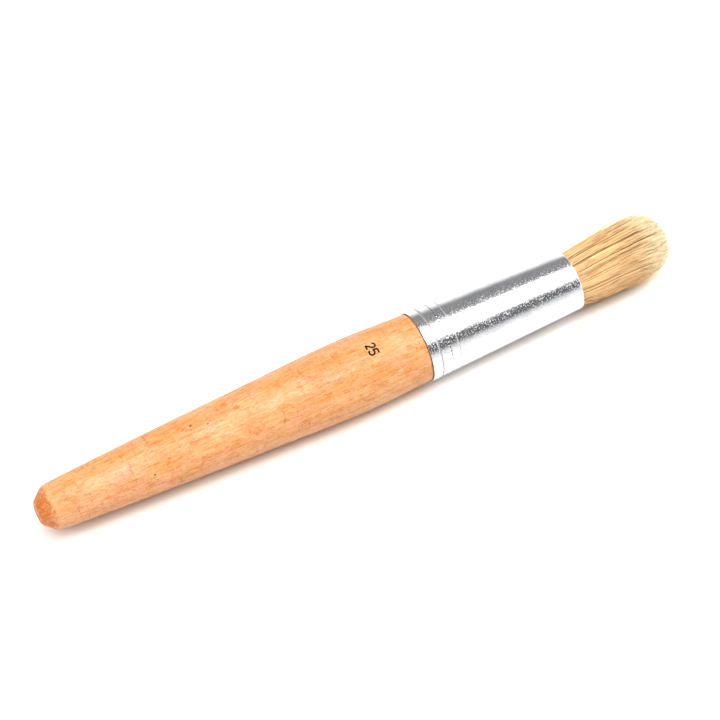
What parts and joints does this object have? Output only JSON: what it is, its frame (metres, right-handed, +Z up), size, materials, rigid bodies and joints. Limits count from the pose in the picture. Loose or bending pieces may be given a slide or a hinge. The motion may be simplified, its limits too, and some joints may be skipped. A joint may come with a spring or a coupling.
{
  "type": "round stencil brush",
  "caption": "Round stencil brush: tapered wooden handle with a swelling belly, conical aluminium ferrule with ring lines, and a flared, dome-cut bundle of pale natural bristles.",
  "frame": {"origin": "under the middle of the brush's length, on the surface that the handle's belly rests on", "axes": "+X along the brush towards the bristles, +Z up, with the brush's axis level and 13.15 mm above the origin"},
  "size_m": [0.2403, 0.0269, 0.0273],
  "materials": {
    "lacquered_wood": "gloss",
    "ferrule_aluminium": "polished",
    "setting_resin": "gloss",
    "bristle": "satin",
    "mark_ink": "matte"
  },
  "bodies": {
    "brush": {"handle": "lacquered_wood", "ferrule": "ferrule_aluminium", "resin_plug": "setting_resin", "bristle_roots": "bristle", "size_mark": "mark_ink"},
    "bristle_head": {"bristle_tips": "bristle"}
  },
  "joints": [
    {"name": "bristle_bend", "type": "hinge", "parent": "brush", "child": "bristle_head", "pos_m": [0.0878, 0, 0.01315], "axis": [0, 0, 1], "range_deg": [-20, 20], "stiffness_Nm_per_rad": 0.4}
  ]
}
